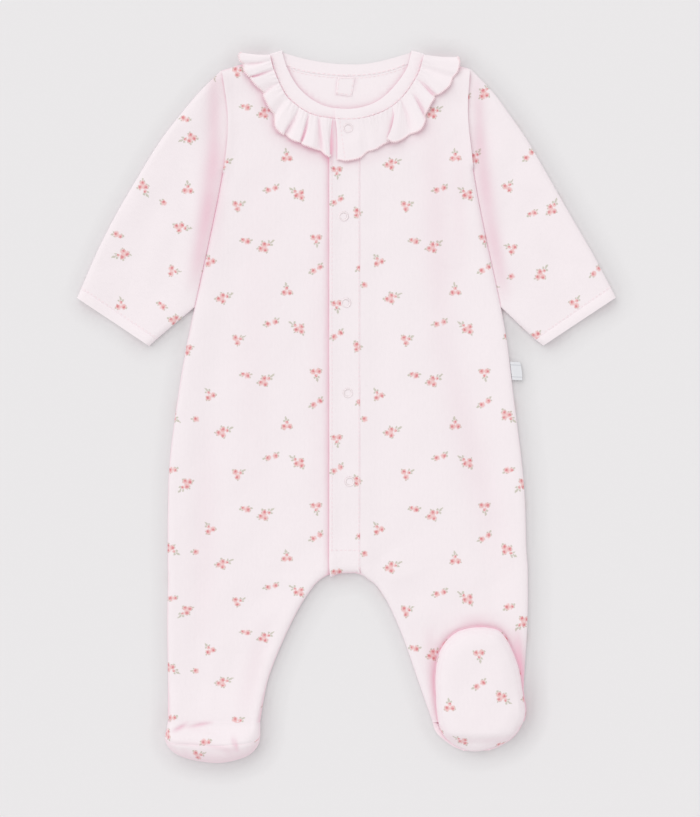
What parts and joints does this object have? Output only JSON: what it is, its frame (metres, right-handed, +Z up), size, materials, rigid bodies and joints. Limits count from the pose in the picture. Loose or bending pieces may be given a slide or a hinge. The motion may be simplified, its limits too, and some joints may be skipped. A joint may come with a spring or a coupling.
{
  "type": "footed baby sleepsuit",
  "caption": "Long-sleeved footed baby sleepsuit laid flat on its back, with a ruffled round neck and a snap placket down the centre front.",
  "frame": {"origin": "centre of the whole suit's outline, on the surface that it lies on", "axes": "+Y towards the neck, +X towards the wearer's left sleeve (right as seen from the front), +Z up, out of the front"},
  "size_m": [0.4042, 0.5348, 0.0177],
  "materials": {
    "cloth": "pale pink cotton interlock with a small rose print",
    "rib": "plain pale pink cotton rib",
    "frill": "plain pale pink cotton jersey with a rolled edge",
    "sole": "pale pink cotton interlock with a small rose print",
    "snap": "pale pink enamel",
    "tag": "white woven tape"
  },
  "bodies": {
    "root": {"back": "cloth", "front_left": "cloth", "front_right": "cloth", "placket": "cloth", "sleeve_left": "cloth", "sleeve_right": "cloth", "cuff_left": "rib", "cuff_right": "rib", "neckband": "rib", "ruffle_left": "frill", "ruffle_right": "frill", "foot_upper_left": "cloth", "foot_upper_right": "cloth", "sole_left": "sole", "sole_right": "sole", "snap_1": "snap", "snap_2": "snap", "snap_3": "snap", "snap_4": "snap", "snap_5": "snap", "side_tag": "tag", "neck_label": "cloth"}
  },
  "joints": []
}
